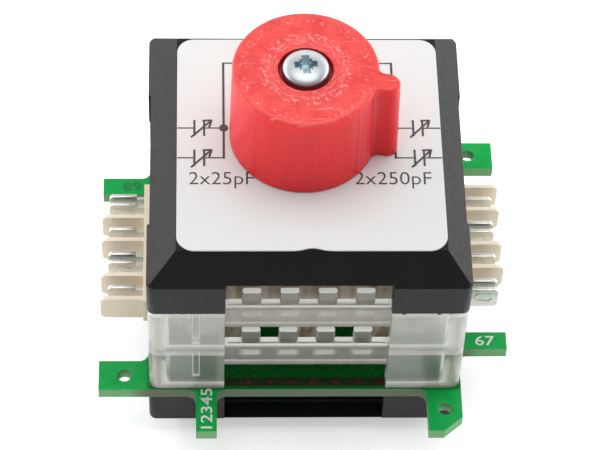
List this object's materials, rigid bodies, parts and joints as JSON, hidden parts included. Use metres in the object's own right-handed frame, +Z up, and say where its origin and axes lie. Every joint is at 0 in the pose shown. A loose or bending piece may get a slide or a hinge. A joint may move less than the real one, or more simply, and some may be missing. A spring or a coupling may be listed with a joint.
{
  "type": "variable tuning capacitor module",
  "caption": "Square plug-together module: a film-dielectric tuning capacitor between clear spacer frames, turned 180 degrees by a round pointer knob.",
  "frame": {"origin": "centre of the flat bottom face that the module stands on", "axes": "+Z up along the tuning shaft; -Y is the side that faces the reader of the label; +X is the right-hand connector"},
  "size_m": [0.0338, 0.0338, 0.0321],
  "materials": {
    "black_plastic": "fine satin moulding",
    "label_white": "satin printed film",
    "clear_plastic": "frosted clear",
    "green_board": "solder-mask gloss",
    "beige_plastic": "satin moulding",
    "tinned_metal": "tinned",
    "brass": "turned",
    "aluminium": "rolled sheet",
    "zinc_steel": "bright zinc plate",
    "milky_plastic": "milky moulding",
    "film_plastic": "clear film",
    "red_plastic": "printed in fine layers"
  },
  "bodies": {
    "housing": {"top_cover": "black_plastic", "bottom_cover": "black_plastic", "cover_label": "label_white", "upper_spacer_frame": "clear_plastic", "lower_spacer_frame": "clear_plastic", "circuit_board": "green_board", "left_connector_body": "beige_plastic", "left_blade_front": "tinned_metal", "left_blade_rear": "tinned_metal", "left_fork_front": "tinned_metal", "left_fork_rear": "tinned_metal", "right_connector_body": "beige_plastic", "right_blade_front": "tinned_metal", "right_blade_rear": "tinned_metal", "right_fork_front": "tinned_metal", "right_fork_rear": "tinned_metal", "capacitor_case": "milky_plastic", "capacitor_front_plate": "milky_plastic", "shaft_bushing": "brass", "case_screw_left": "zinc_steel", "case_screw_right": "zinc_steel", "stator_large_1": "aluminium", "stator_large_2": "aluminium", "stator_small_1": "aluminium", "stator_small_2": "aluminium", "film_large_1": "film_plastic", "film_large_2": "film_plastic", "film_small_1": "film_plastic", "film_small_2": "film_plastic", "terminal_front_1": "tinned_metal", "terminal_front_2": "tinned_metal", "terminal_front_3": "tinned_metal", "terminal_back_1": "tinned_metal", "terminal_back_2": "tinned_metal", "terminal_back_3": "tinned_metal"},
    "tuner": {"knob": "red_plastic", "knob_screw": "zinc_steel", "tuning_shaft": "brass", "rotor_large_1": "aluminium", "rotor_large_2": "aluminium", "rotor_small_1": "aluminium", "rotor_small_2": "aluminium"},
    "trimmer_screw_1": {"trimmer_1": "brass"},
    "trimmer_screw_2": {"trimmer_2": "brass"},
    "trimmer_screw_3": {"trimmer_3": "brass"},
    "trimmer_screw_4": {"trimmer_4": "brass"}
  },
  "joints": [
    {"name": "tuning", "type": "hinge", "parent": "housing", "child": "tuner", "pos_m": [-0.00035, 0.0006, 0.0233], "axis": [0, 0, 1], "range_deg": [0, 180]},
    {"name": "trimmer_turn_1", "type": "hinge", "parent": "housing", "child": "trimmer_screw_1", "pos_m": [0.0047, 0.0047, 0.0118], "axis": [0, 0, 1], "continuous": true},
    {"name": "trimmer_turn_2", "type": "hinge", "parent": "housing", "child": "trimmer_screw_2", "pos_m": [-0.0047, 0.0047, 0.0118], "axis": [0, 0, 1], "continuous": true},
    {"name": "trimmer_turn_3", "type": "hinge", "parent": "housing", "child": "trimmer_screw_3", "pos_m": [-0.0047, -0.0047, 0.0118], "axis": [0, 0, 1], "continuous": true},
    {"name": "trimmer_turn_4", "type": "hinge", "parent": "housing", "child": "trimmer_screw_4", "pos_m": [0.0047, -0.0047, 0.0118], "axis": [0, 0, 1], "continuous": true}
  ]
}
